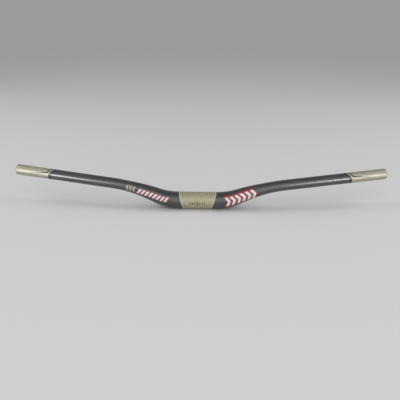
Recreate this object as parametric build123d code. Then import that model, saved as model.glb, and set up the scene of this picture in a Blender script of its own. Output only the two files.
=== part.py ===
from build123d import *
import os
from math import radians, tan

# Riser handlebar for a mountain bike: one hollow moulded carbon tube, fat in the middle where the
# stem clamps it, tapering through an upward bend on each side to slim ends that carry the grips.
# The origin is the middle of the clamp zone. +X runs along the clamp axis, +Y back towards the rider
# and +Z up. The right side is the one at +X, as seen from in front of the bike. Lengths are in
# millimetres and angles in degrees.

# Overall width, between the outermost edges of the two ends
overall_width = 780.0

# Clamp zone: the straight, full-diameter stretch in the middle
clamp_diameter = 35.0
clamp_length = 76.0

# Bends from the clamp zone outwards, alike on both sides
rise_angle = 21.5  # climb of the riser, seen from the front
rise_backsweep = 2.9  # lean of the riser towards the rider, seen from above
inner_bend_radius = 120.0
riser_straight = 2.0  # straight run between the two bends
outer_bend_radius = 322.0
upsweep = 4.5  # climb of the grip ends, seen from the front
backsweep = 9.0  # lean of the grip ends towards the rider, seen from above

# Taper from the clamp diameter to the grip diameter, along the tube from the clamp zone's end
taper_length = 128.0
grip_diameter = 22.2

# Wall, thicker under the stem than at the ends
clamp_wall = 2.6
grip_wall = 2.4
end_chamfer = 0.6  # on the inner and outer edge of each open end

# How the bent stretch is drawn: circles across the tube, with a surface passed through them
section_count = 24
cutter_overrun = 5.0  # how far the bore's cutter passes each open end


def heading(climb, lean):
    """Direction of the right side's tube where it climbs and leans back by these angles."""
    return Vector(1, tan(radians(lean)), tan(radians(climb))).normalized()


# Directions of the three straight runs of the right side, and how far each bend turns
along_clamp = heading(0, 0)
along_riser = heading(rise_angle, rise_backsweep)
along_grip = heading(upsweep, backsweep)
inner_turn = radians(along_clamp.get_angle(along_riser))
outer_turn = radians(along_riser.get_angle(along_grip))

# Corners of the tube's axis, before the bends round them
inner_reach = inner_bend_radius * tan(inner_turn / 2)
outer_reach = outer_bend_radius * tan(outer_turn / 2)
clamp_end = clamp_length / 2
inner_corner = along_clamp * (clamp_end + inner_reach)
outer_corner = inner_corner + along_riser * (inner_reach + riser_straight + outer_reach)

# The end face is square to the grip, so its outer edge reaches further out than its centre
edge_reach = grip_diameter / 2 * Vector(0, along_grip.Y, along_grip.Z).length
end_centre_x = overall_width / 2 - edge_reach
end_centre = outer_corner + along_grip * ((end_centre_x - outer_corner.X) / along_grip.X)

# Axis of the right side, from the clamp's middle to the centre of the end face
tube_axis = FilletPolyline(
    (0, 0, 0),
    inner_corner,
    outer_corner,
    end_centre,
    radius=[inner_bend_radius, outer_bend_radius],
)

# Distances along the axis where the bends and the taper are over, and the straight grip begins
bends_end = clamp_end + inner_bend_radius * inner_turn + riser_straight + outer_bend_radius * outer_turn
taper_end = clamp_end + taper_length
grip_start = max(bends_end, taper_end)


def across(distance):
    """Plane square to the tube's axis, at a distance along it from the clamp's middle."""
    tangent = tube_axis.tangent_at(distance, PositionMode.LENGTH)
    return Plane(
        origin=tube_axis.position_at(distance, PositionMode.LENGTH),
        x_dir=Vector(0, 0, 1).cross(tangent),
        z_dir=tangent,
    )


def tapered(distance, at_clamp, at_grip):
    """Value that eases from its size at the clamp to its size at the grip, along the taper."""
    share = min(max((distance - clamp_end) / taper_length, 0), 1)
    eased = share * share * (3 - 2 * share)
    return at_clamp + (at_grip - at_clamp) * eased


def bent_bar(clamp_size, grip_size, overrun):
    """Solid bar of these two diameters along the whole axis, past each end by the overrun."""
    circles = []
    for index in range(section_count):
        distance = clamp_end + (grip_start - clamp_end) * index / (section_count - 1)
        radius = tapered(distance, clamp_size, grip_size) / 2
        circles.append(across(distance) * Circle(radius))
    bent_stretch = loft(circles)
    straight_length = tube_axis.length - grip_start + overrun
    straight_stretch = extrude(across(grip_start) * Circle(grip_size / 2), straight_length)
    right_side = bent_stretch + straight_stretch
    middle = Plane.YZ * Cylinder(clamp_size / 2, clamp_length)
    return middle + right_side + mirror(right_side, about=Plane.YZ)


# The bar and its bore, both following the same axis
outside = bent_bar(clamp_diameter, grip_diameter, 0)
bore = bent_bar(clamp_diameter - 2 * clamp_wall, grip_diameter - 2 * grip_wall, cutter_overrun)
handlebar = outside - bore

# Both edges of each open end are broken
faces_along_x = handlebar.faces().sort_by(Axis.X)
end_edges = faces_along_x[0].edges() + faces_along_x[-1].edges()
handlebar = chamfer(end_edges, end_chamfer)

os.makedirs("parts", exist_ok=True)
export_step(handlebar, "parts/handlebar.step")
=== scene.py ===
from math import hypot, pi, radians, tan

import bpy
import numpy
from mathutils import Matrix, Vector


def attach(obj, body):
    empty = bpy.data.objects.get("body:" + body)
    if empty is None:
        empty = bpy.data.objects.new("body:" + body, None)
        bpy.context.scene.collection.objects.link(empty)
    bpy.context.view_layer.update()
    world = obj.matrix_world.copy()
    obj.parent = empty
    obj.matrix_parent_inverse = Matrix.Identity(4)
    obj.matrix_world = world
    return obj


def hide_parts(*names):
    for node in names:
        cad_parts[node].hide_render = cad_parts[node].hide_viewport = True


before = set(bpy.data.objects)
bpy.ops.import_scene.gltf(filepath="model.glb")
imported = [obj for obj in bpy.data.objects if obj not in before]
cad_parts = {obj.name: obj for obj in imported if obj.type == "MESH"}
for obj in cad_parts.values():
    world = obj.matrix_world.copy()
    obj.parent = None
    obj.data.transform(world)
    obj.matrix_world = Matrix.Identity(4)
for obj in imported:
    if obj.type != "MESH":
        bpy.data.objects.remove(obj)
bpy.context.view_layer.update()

# Moulded handlebar
# One hollow carbon-fibre tube, moulded in one go over a bladder: fat in the middle where the stem holds
# it, bent up and back on each side, and slim at the ends that carry the grips. Its right side is drawn
# ring by ring from the middle outwards, then mirrored and given its wall, all in metres and degrees.
overall_width = 0.780
clamp_radius = 0.0175
clamp_length = 0.076
taper_length = 0.128
grip_radius = 0.0111
clamp_wall = 0.0026
grip_wall = 0.0024
end_rounding = 0.0006
rise_angle = 21.5
rise_backsweep = 2.9
inner_bend_radius = 0.120
riser_straight = 0.002
outer_bend_radius = 0.322
upsweep = 4.5
backsweep = 9.0
points_around = 120
merge_distance = 0.00001


def heading(climb, lean):
    """Direction of the right side's tube where it climbs and leans back by these angles."""
    return Vector((1, tan(radians(lean)), tan(radians(climb)))).normalized()


def tube_radius(distance):
    """Radius at a distance along the tube from the middle, easing from the clamp zone to the grip."""
    share = min(max((distance - clamp_length / 2) / taper_length, 0), 1)
    eased = share * share * (3 - 2 * share)
    return clamp_radius + (grip_radius - clamp_radius) * eased


bpy.ops.object.select_all(action="DESELECT")
bpy.ops.mesh.primitive_circle_add(
    vertices=points_around, radius=clamp_radius, calc_uvs=False, rotation=(0, pi / 2, 0)
)
handlebar = bpy.context.object
handlebar.name = "moulded_bar"
bpy.ops.object.transform_apply(location=False, rotation=True, scale=False)
bpy.ops.object.mode_set(mode="EDIT")
bpy.ops.mesh.select_all(action="SELECT")

# Each ring is noted by its distance along the tube, its centre and the direction of the tube there
distances = [0.0]
centres = [Vector((0, 0, 0))]
directions = [heading(0, 0)]


def note_ring(distance, centre, direction):
    """Thins the ring just drawn to the tube's radius at its place, about its own centre."""
    thinner = tube_radius(distance) / tube_radius(distances[-1])
    bpy.ops.transform.resize(value=(thinner, thinner, thinner), center_override=centre)
    distances.append(distance)
    centres.append(centre)
    directions.append(direction)


def straight_run(length, steps):
    """Draws the tube straight on."""
    move = directions[-1] * (length / steps)
    for step in range(steps):
        bpy.ops.mesh.extrude_region_move(TRANSFORM_OT_translate={"value": move})
        note_ring(distances[-1] + length / steps, centres[-1] + move, directions[-1])


def bent_run(bend_radius, new_direction, steps):
    """Draws the tube round a bend to a new direction. Spin counts its angle backwards."""
    hinge = directions[-1].cross(new_direction).normalized()
    pivot = centres[-1] + hinge.cross(directions[-1]) * bend_radius
    turn = directions[-1].angle(new_direction) / steps
    turned = Matrix.Rotation(turn, 3, hinge)
    for step in range(steps):
        bpy.ops.mesh.spin(steps=1, angle=-turn, center=pivot, axis=hinge)
        centre = pivot + turned @ (centres[-1] - pivot)
        note_ring(distances[-1] + bend_radius * turn, centre, turned @ directions[-1])


along_grip = heading(upsweep, backsweep)
straight_run(clamp_length / 2, steps=8)
bent_run(inner_bend_radius, heading(rise_angle, rise_backsweep), steps=16)
straight_run(riser_straight, steps=1)
bent_run(outer_bend_radius, along_grip, steps=36)

# The end face is square to the grip, so its outer edge reaches further out than its centre
end_x = overall_width / 2 - grip_radius * hypot(along_grip.y, along_grip.z)
straight_run((end_x - centres[-1].x) / along_grip.x, steps=44)
bar_reach = distances[-1]
bpy.ops.object.mode_set(mode="OBJECT")

mirror = handlebar.modifiers.new("left_side", "MIRROR")
mirror.merge_threshold = merge_distance
bpy.ops.object.modifier_apply(modifier=mirror.name)
bpy.ops.object.mode_set(mode="EDIT")
bpy.ops.mesh.select_all(action="SELECT")
bpy.ops.mesh.remove_doubles(threshold=merge_distance)
bpy.ops.mesh.normals_make_consistent(inside=False)

# Extrude and spin number their faces differently on each run, so the faces are put in one order: by their
# distance from a point to the left that isn't level or in line with the bar
bpy.context.scene.cursor.location = (-1.0, 0.3, 0.2)
bpy.ops.mesh.sort_elements(type="CURSOR_DISTANCE", elements={"EDGE", "FACE"})
bpy.ops.object.mode_set(mode="OBJECT")

# Three finishes: the lacquered outside, the bore as it came off the bladder, and the cut end faces
outside, bore, cut_end = 0, 1, 2
for finish_number in (outside, bore, cut_end):
    handlebar.data.materials.append(None)

# The wall is thickest under the stem and thins out along the taper
under_stem = handlebar.vertex_groups.new(name="under_stem")
for point in handlebar.data.vertices:
    share = (tube_radius(abs(point.co.x)) - grip_radius) / (clamp_radius - grip_radius)
    under_stem.add([point.index], share, "REPLACE")
shell = handlebar.modifiers.new("wall", "SOLIDIFY")
shell.thickness = clamp_wall
shell.vertex_group = under_stem.name
shell.thickness_vertex_group = grip_wall / clamp_wall
shell.offset = -1
shell.use_even_offset = True
shell.material_offset = bore
shell.material_offset_rim = cut_end
bpy.ops.object.modifier_apply(modifier=shell.name)
handlebar.vertex_groups.clear()

rounding = handlebar.modifiers.new("end_rounding", "BEVEL")
rounding.limit_method = "ANGLE"
rounding.angle_limit = radians(60)
rounding.width = end_rounding
rounding.segments = 3
rounding.material = cut_end
bpy.ops.object.modifier_apply(modifier=rounding.name)
bpy.ops.object.shade_smooth_by_angle(angle=radians(40))

# The bar as if pulled straight: each point's distance along the tube from the middle, how far behind the
# axis it lies and how far above. All paint and print are laid out on this, so they follow the bends.
mesh = handlebar.data
points = numpy.empty(len(mesh.vertices) * 3)
mesh.vertices.foreach_get("co", points)
points = points.reshape(-1, 3)
side = numpy.where(points[:, 0] < 0, -1.0, 1.0)
on_right = points * numpy.stack([side, numpy.ones_like(side), numpy.ones_like(side)], axis=1)
ring_centres = numpy.array(centres)
forwards = numpy.array(directions)
backs = numpy.cross([0, 0, 1], forwards)
backs /= numpy.linalg.norm(backs, axis=1)[:, None]
ups = numpy.cross(forwards, backs)
nearest = numpy.linalg.norm(on_right[:, None] - ring_centres, axis=2).argmin(axis=1)
offsets = on_right - ring_centres[nearest]
past_ring = (offsets * forwards[nearest]).sum(axis=1)
along = side * (numpy.array(distances)[nearest] + past_ring)
behind = (offsets * backs[nearest]).sum(axis=1)
above = (offsets * ups[nearest]).sum(axis=1)
straight = mesh.attributes.new("straight", "FLOAT_VECTOR", "POINT")
straight.data.foreach_set("vector", numpy.stack([along, behind, above], axis=1).ravel())

# Flat layout for baked maps, in shares of the map: the outside in three long strips, split low at
# the back of the tube, then the bore in a thin strip and the two end faces side by side in another
side_margin = 0.01
map_width = 0.98
strip_count = 3
strips_start = 0.005
strip_pitch = 0.31
strip_height = 0.30
bore_start = 0.935
bore_height = 0.025
ends_start = 0.97
ends_height = 0.025
end_width = 0.48
second_end_start = 0.51
split_angle = radians(-135)
strip_length = 2 * bar_reach / strip_count
corner_point = numpy.empty(len(mesh.loops), dtype=int)
mesh.loops.foreach_get("vertex_index", corner_point)
face_corners = numpy.empty(len(mesh.polygons), dtype=int)
mesh.polygons.foreach_get("loop_total", face_corners)
face_finish = numpy.empty(len(mesh.polygons), dtype=int)
mesh.polygons.foreach_get("material_index", face_finish)
corner_face = numpy.repeat(numpy.arange(len(mesh.polygons)), face_corners)


def face_mean(values):
    """Mean of a value over the corners of each face."""
    return numpy.bincount(corner_face, weights=values[corner_point]) / face_corners


# Each corner's share of a turn about the tube, kept on the same side of the split as its face
face_angle = (numpy.arctan2(face_mean(above), face_mean(-behind)) - split_angle) % (2 * pi)
corner_angle = numpy.arctan2(above, -behind)[corner_point] - split_angle
corner_angle += 2 * pi * numpy.round((face_angle[corner_face] - corner_angle) / (2 * pi))
turn_share = corner_angle / (2 * pi)
corner_along = along[corner_point] + bar_reach
strip = numpy.clip((face_mean(along) + bar_reach) // strip_length, 0, strip_count - 1)[corner_face]
flat_u = side_margin + map_width * (corner_along / strip_length - strip)
flat_v = strips_start + strip_pitch * strip + strip_height * turn_share
in_bore = face_finish[corner_face] == bore
flat_u[in_bore] = (side_margin + map_width * corner_along / (2 * bar_reach))[in_bore]
flat_v[in_bore] = (bore_start + bore_height * turn_share)[in_bore]
on_end = face_finish[corner_face] == cut_end
end_start = numpy.where(corner_along > bar_reach, second_end_start, side_margin)
depth_share = (grip_radius - numpy.hypot(behind, above)[corner_point]) / grip_wall
flat_u[on_end] = (end_start + end_width * turn_share)[on_end]
flat_v[on_end] = (ends_start + ends_height * depth_share)[on_end]
flat_layout = mesh.uv_layers.new(name="OFBake")
flat_layout.data.foreach_set("uv", numpy.stack([flat_u, flat_v], axis=1).ravel())

# Paint and print on the outside
# The tube shows its lengthwise carbon fibres under clear lacquer. The clamp zone and both ends are
# sprayed pale gold, masked off at a slant: gritty in the middle, so that the stem holds it, and smoother
# at the ends, which carry a dark pinstripe. The risers carry printed stripes.


class Tone:
    """A value, place or colour that changes over a surface: one output of the nodes of its finish."""

    def __init__(self, tree, socket=None):
        self.tree = tree
        self.socket = socket

    def node(self, kind, settings, sockets, output=0):
        """A new node's output. Its settings are set first, then its sockets get their values or links."""
        new_node = self.tree.nodes.new(kind)
        for name, setting in settings.items():
            setattr(new_node, name, setting)
        for name, filling in sockets.items():
            if isinstance(filling, Tone):
                self.tree.links.new(filling.socket, new_node.inputs[name])
            else:
                new_node.inputs[name].default_value = filling
        if len(new_node.outputs) == 0:
            return None
        return Tone(self.tree, new_node.outputs[output])

    def maths(self, operation, *values, clamped=False):
        """A Math node on these values."""
        settings = {"operation": operation, "use_clamp": clamped}
        return self.node("ShaderNodeMath", settings, dict(enumerate(values)))

    def __add__(self, other):
        return self.maths("ADD", self, other)

    def __radd__(self, other):
        return self.maths("ADD", other, self)

    def __sub__(self, other):
        return self.maths("SUBTRACT", self, other)

    def __rsub__(self, other):
        return self.maths("SUBTRACT", other, self)

    def __mul__(self, other):
        return self.maths("MULTIPLY", self, other)

    def __rmul__(self, other):
        return self.maths("MULTIPLY", other, self)

    def __truediv__(self, other):
        return self.maths("DIVIDE", self, other)

    def __neg__(self):
        return self.maths("MULTIPLY", self, -1.0)

    def __abs__(self):
        return self.maths("ABSOLUTE", self)

    def least(self, *others):
        """The smallest of this value and others."""
        smallest = self
        for other in others:
            smallest = smallest.maths("MINIMUM", smallest, other)
        return smallest

    def most(self, *others):
        """The largest of this value and others."""
        largest = self
        for other in others:
            largest = largest.maths("MAXIMUM", largest, other)
        return largest

    def band(self, middle, width):
        """How far inside a band of this width, about this middle, the value lies."""
        return width / 2 - abs(self - middle)

    def inside(self, softness=0.00016):
        """1 where this distance is above nothing and 0 where it is below, with a soft edge between."""
        return self.maths("MULTIPLY_ADD", self, 1 / softness, 0.5, clamped=True)

    def between(self, first, second):
        """The colour between these two: the first where this value is 0, the second where it is 1."""
        return self.node("ShaderNodeMix", {"data_type": "RGBA"}, {0: self, 6: first, 7: second}, 2)

    def painted(self, colour, mask):
        """This colour with another one over it, where the mask is 1."""
        return mask.between(self, colour)

    def axis(self, name):
        """One coordinate of this place: X, Y or Z."""
        return self.node("ShaderNodeSeparateXYZ", {}, {0: self}, name)

    def from_axis(self):
        """How far this straightened place lies from the tube's axis."""
        sideways = {0: self, 1: (0.0, 1.0, 1.0)}
        offset = self.node("ShaderNodeVectorMath", {"operation": "MULTIPLY"}, sideways)
        return self.node("ShaderNodeVectorMath", {"operation": "LENGTH"}, {0: offset}, "Value")

    def grain(self, lengthwise, crosswise, detail):
        """Random tone, about 0.3 to 0.7, with this many grains to a metre along and across the tube."""
        stretch = {0: self, 1: (lengthwise, crosswise, crosswise)}
        spread = self.node("ShaderNodeVectorMath", {"operation": "MULTIPLY"}, stretch)
        return self.node("ShaderNodeTexNoise", {}, {"Vector": spread, "Scale": 1.0, "Detail": detail})

    def relief(self, depth, strength):
        """The surface's direction where this value is its height, with 1 standing this far above 0."""
        return self.node("ShaderNodeBump", {}, {"Strength": strength, "Distance": depth, "Height": self})

    def surface(self, sockets):
        """Ends a finish: its shader, with these sockets filled."""
        shader = self.node("ShaderNodeBsdfPrincipled", {}, sockets)
        self.node("ShaderNodeOutputMaterial", {}, {"Surface": shader})


def new_finish(name):
    """An empty material for the bar, and the straightened place that its patterns are laid out on."""
    material = bpy.data.materials.new(name)
    material.use_nodes = True
    material.node_tree.nodes.clear()
    straightened = {"attribute_name": "straight"}
    place = Tone(material.node_tree).node("ShaderNodeAttribute", straightened, {}, "Vector")
    return material, place


def tint(red, green, blue):
    """A colour as a paint card gives it, from 0 to 255, in the light values that a shader takes."""
    light = [(level / 255) ** 2.2 for level in (red, green, blue)]
    return (*light, 1.0)


lacquered_carbon, place = new_finish("lacquered_carbon")
along_bar = place.axis("X")
up_bar = place.axis("Z")
front_bar = -place.axis("Y")
radius = place.from_axis()
from_middle = abs(along_bar)
from_tip = bar_reach - from_middle

# Round the tube, around runs from the frontmost line over the top, and climb is alike in front and behind
around = along_bar.maths("ARCTAN2", up_bar, front_bar) * radius
climb = along_bar.maths("ARCSINE", up_bar / radius) * radius

# Carbon in long tows of fibres whose brighter streaks are partly painted sheen, and gold with fine flecks
# and spray
fibres = place.grain(lengthwise=20, crosswise=1500, detail=3.0)
tows = place.grain(lengthwise=7, crosswise=380, detail=2.0)
flecks = place.grain(lengthwise=2000, crosswise=2000, detail=2.0)
spray = place.grain(lengthwise=130, crosswise=130, detail=2.0)
fibre_tone = 0.5 + (fibres - 0.5) * 0.9 + (tows - 0.5) * 1.1
gold_tone = 0.5 + (flecks - 0.5) * 1.4 + (spray - 0.5) * 0.7
# Dark carbon with brighter fibre streaks: part fibre tone, part painted sheen standing in for the glints
# of the fibres
carbon_and_glints = (fibre_tone * fibre_tone).between(tint(6, 6, 7), tint(60, 60, 61))
gold = gold_tone.between(tint(151, 146, 119), tint(189, 184, 155))
end_gold = gold_tone.between(tint(149, 145, 127), tint(187, 183, 165))

# Where the gold lies: how far each spot is inside the borders, which slant with height
clamp_paint_half = 0.0335
clamp_paint_slant = 0.30
end_paint_length = 0.0753
end_paint_slant = 0.62
end_slant_start = 0.0012
clamp_paint = up_bar * clamp_paint_slant + (clamp_paint_half - from_middle)
end_paint = (climb - end_slant_start).most(0.0) * end_paint_slant + (end_paint_length - from_tip)
in_clamp = clamp_paint.inside()
in_end = end_paint.inside()
painted_gold = in_clamp.most(in_end)

# Pale line along the clamp zone's borders, and a dull dark ring round the bar beside each end's gold
edge_line = clamp_paint.band(middle=0.0010, width=0.0016).inside()
dull_ring = end_paint.band(middle=-0.0021, width=0.0042).inside()

# Pinstripe of each end: a slanted bar beside the border, over the top and down to its foot, and a long
# wedge that thins out from there towards the tip
stripe_foot = 0.0046
stripe_past_top = 0.002
wedge_start = 0.0044
wedge_tip = 0.033
wedge_length = 0.040
wedge_tip_climb = 0.0005
wedge_rise = 0.0051
wedge_tip_half = 0.00015
wedge_widening = 0.0012
slanted_stripe = end_paint.band(middle=0.0059, width=0.0030).least(climb - stripe_foot)
wedge_share = (from_tip - wedge_tip) / wedge_length
wedge_middle = wedge_tip_climb + wedge_share * wedge_rise
wedge_half = wedge_tip_half + wedge_share * wedge_widening
wedge = (wedge_half - abs(climb - wedge_middle)).least(end_paint - wedge_start, from_tip - wedge_tip)
on_front = (front_bar + stripe_past_top).inside()
pinstripe = slanted_stripe.most(wedge).inside() * on_front


def printed_row(lengthwise, crosswise, start, end, pitch, width, height):
    """How far inside a row of printed stripes a spot lies: one every pitch, each this wide and high."""
    wave = lengthwise.maths("PINGPONG", lengthwise - start, pitch / 2)
    stripes = wave - (pitch - width) / 2
    return stripes.least(crosswise.band(0.0, height), lengthwise - start, end - lengthwise)


# Slanted white bars on the left riser, edged in red, and three cream chevrons further out
bar_row = {"start": 0.0600, "end": 0.1256, "pitch": 0.0082}
bar_row_lift = 0.0063
bar_row_fall = 0.05
bar_slant = 0.45
chevron_row = {"start": 0.1310, "end": 0.1520, "pitch": 0.0070}
chevron_row_lift = 0.0012
chevron_slant = 0.5
on_left = -along_bar
from_bar_row = around - (bar_row_lift - on_left * bar_row_fall)
bar_place = on_left + from_bar_row * bar_slant
bars = printed_row(bar_place, from_bar_row, **bar_row, width=0.0044, height=0.0102)
bar_edges = printed_row(bar_place, from_bar_row, **bar_row, width=0.0066, height=0.0126)
from_chevron_row = abs(around - chevron_row_lift)
chevron_place = on_left + from_chevron_row * chevron_slant
chevrons = printed_row(chevron_place, from_chevron_row, **chevron_row, width=0.0034, height=0.0116)

# Large white chevrons on the right riser, edged in red, between two red lines
arrow_row = {"start": 0.0597, "end": 0.1239, "pitch": 0.0107}
arrow_row_lift = 0.0022
arrow_row_fall = 0.02
arrow_slant = 0.6
lines_start = 0.0550
lines_end = 0.1230
from_arrow_row = abs(around - arrow_row_lift + along_bar * arrow_row_fall)
arrow_place = along_bar + from_arrow_row * arrow_slant
arrows = printed_row(arrow_place, from_arrow_row, **arrow_row, width=0.0055, height=0.0184)
arrow_edges = printed_row(arrow_place, from_arrow_row, **arrow_row, width=0.0089, height=0.0224)
arrow_lines = from_arrow_row.band(middle=0.0122, width=0.0014)
arrow_lines = arrow_lines.least(along_bar - lines_start, lines_end - along_bar)

# Seven alignment ticks on the front of the clamp zone, the middle one longer
tick_row = {"start": -0.0168, "end": 0.0168, "pitch": 0.0048}
tick_row_lift = -0.0010
tick_width = 0.0014
long_tick_height = 0.0116
from_tick_row = around - tick_row_lift
ticks = printed_row(along_bar, from_tick_row, **tick_row, width=tick_width, height=0.0052)
long_tick = along_bar.band(0.0, tick_width).least(from_tick_row.band(0.0, long_tick_height))

# All colours over each other, in the order in which they are put on
line_gold = tint(203, 199, 178)
print_red = tint(170, 32, 44)
print_white = tint(246, 236, 232)
print_cream = tint(182, 177, 147)
ink_black = tint(34, 34, 32)
ink = ticks.most(long_tick).inside().most(pinstripe)
colour = carbon_and_glints.painted(gold, in_clamp).painted(end_gold, in_end)
colour = colour.painted(line_gold, edge_line)
colour = colour.painted(print_red, bar_edges.most(arrow_edges, arrow_lines).inside())
colour = colour.painted(print_white, bars.most(arrows).inside())
colour = colour.painted(print_cream, chevrons.inside())
colour = colour.painted(ink_black, ink.most(dull_ring))

# Satin lacquer over the carbon and the prints, little of it on the gold and on the dull ring. The fibres
# stand out faintly under it, and the clamp zone's grit stands out well.
bare_gold = painted_gold * (1 - ink)
metal_share = bare_gold * (0.8 - in_clamp * 0.35)
roughness = 0.34 + fibre_tone * 0.12 + in_clamp * 0.14 + in_end * 0.22 + dull_ring * 0.2
roughness = roughness + (flecks - 0.5) * bare_gold * 0.25
lacquer = 1 - in_clamp * 0.85 - in_end * 0.7 - dull_ring * 0.8
relief_height = fibres * 0.15 * (1 - painted_gold) + flecks * in_clamp
place.surface(
    {
        "Base Color": colour,
        "Metallic": metal_share,
        "Roughness": roughness,
        "Coat Weight": lacquer,
        "Specular IOR Level": 0.3,
        "Coat Roughness": 0.33,
        "Coat IOR": 1.8,
        "Normal": relief_height.relief(depth=0.0004, strength=0.8),
    }
)
mesh.materials[outside] = lacquered_carbon

# Inside and cut ends
# The bore keeps the dull, lightly wrinkled skin that the bladder leaves. The ends are sawn and eased, so
# the edges of the fibre layers show there as fine rings, sealed but not polished.
bladder_skin, place = new_finish("bladder_skin")
wrinkles = place.grain(lengthwise=60, crosswise=260, detail=3.0)
place.surface(
    {
        "Base Color": wrinkles.between(tint(26, 26, 27), tint(62, 62, 62)),
        "Roughness": wrinkles * 0.3 + 0.45,
        "Normal": wrinkles.relief(depth=0.0004, strength=0.4),
    }
)
mesh.materials[bore] = bladder_skin

layer_thickness = 0.00015
sawn_layers, place = new_finish("sawn_layers")
radius = place.from_axis()
layers = radius.maths("PINGPONG", radius, layer_thickness) / layer_thickness
saw_marks = place.grain(lengthwise=900, crosswise=900, detail=2.0)
layer_tone = layers * 0.55 + saw_marks * 0.45
place.surface(
    {
        "Base Color": layer_tone.between(tint(22, 22, 23), tint(74, 74, 74)),
        "Roughness": saw_marks * 0.2 + 0.5,
        "Normal": layer_tone.relief(depth=0.0002, strength=0.6),
    }
)
mesh.materials[cut_end] = sawn_layers

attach(handlebar, "root")
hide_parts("handlebar")

# Studio
# A pale matt floor under the bar and an even pale room. A large soft panel in front and two fills above
# the sides light it, and two low panels, left and right of the camera, show only as gloss on the tube.
floor_radius = 40.0
under_clamp = (0, 0, -clamp_radius)
bpy.ops.object.select_all(action="DESELECT")
bpy.ops.mesh.primitive_circle_add(
    vertices=128, radius=floor_radius, fill_type="NGON", location=under_clamp
)
floor = bpy.context.object
floor.name = "floor"
bpy.ops.object.transform_apply(location=True, rotation=False, scale=False)
floor_paint = bpy.data.materials.new("floor_paint")
floor_paint.use_nodes = True
floor_shader = floor_paint.node_tree.nodes["Principled BSDF"]
floor_shader.inputs["Base Color"].default_value = (0.80, 0.80, 0.805, 1)
floor_shader.inputs["Roughness"].default_value = 0.9
floor_shader.inputs["Specular IOR Level"].default_value = 0.0
floor.data.materials.append(floor_paint)

# The room looks a little darker, to the camera and in gloss, than the light that it gives
room_light = 0.41
darker_look = 0.08
room_colour = (1.0, 1.0, 1.01, 1.0)
room = bpy.data.worlds.new("room")
bpy.context.scene.world = room
room.use_nodes = True
room.node_tree.nodes.clear()
air = Tone(room.node_tree)
seen = air.node("ShaderNodeLightPath", {}, {}, "Is Camera Ray")
mirrored = air.node("ShaderNodeLightPath", {}, {}, "Is Glossy Ray")
through = air.node("ShaderNodeLightPath", {}, {}, "Is Transmission Ray")
level = room_light - darker_look * seen.most(mirrored, through)
backdrop = air.node("ShaderNodeBackground", {}, {"Color": room_colour, "Strength": level})
air.node("ShaderNodeOutputWorld", {}, {"Surface": backdrop})


def soft_panel(name, stand, target, width, height, power):
    """A softbox at this stand, turned to the target."""
    lamp = bpy.data.lights.new(name, "AREA")
    lamp.shape = "RECTANGLE"
    lamp.size = width
    lamp.size_y = height
    lamp.energy = power
    panel = bpy.data.objects.new(name, lamp)
    panel.location = stand
    panel.rotation_euler = (Vector(target) - Vector(stand)).to_track_quat("-Z", "Y").to_euler()
    bpy.context.scene.collection.objects.link(panel)
    return panel


clamp_middle = (0, 0, 0)
above_clamp = (0, 0, 0.02)
left_low = soft_panel("left_low", (-1.12, -0.91, 0.18), above_clamp, width=0.38, height=0.40, power=10.2)
right_low = soft_panel("right_low", (1.05, -0.99, 0.18), above_clamp, width=0.38, height=0.40, power=8.8)
left_low.visible_diffuse = False
right_low.visible_diffuse = False
soft_panel("front_panel", (0, -1.9, 1.1), clamp_middle, width=2.6, height=2.4, power=18)
soft_panel("left_fill", (-1.9, 0.2, 1.5), clamp_middle, width=1.2, height=1.2, power=10)
soft_panel("right_fill", (1.9, 0.2, 1.5), clamp_middle, width=1.2, height=1.2, power=10)

lens = bpy.data.cameras.new("camera")
lens.lens = 40.1
lens.sensor_width = 36
lens.shift_x = 0.0058
lens.shift_y = 0.0004
camera = bpy.data.objects.new("camera", lens)
camera.location = (0.0359, -0.8581, 0.3316)
camera.rotation_euler = (-camera.location).to_track_quat("-Z", "Y").to_euler()
bpy.context.scene.collection.objects.link(camera)
bpy.context.scene.camera = camera
bpy.context.scene.view_settings.view_transform = "Standard"
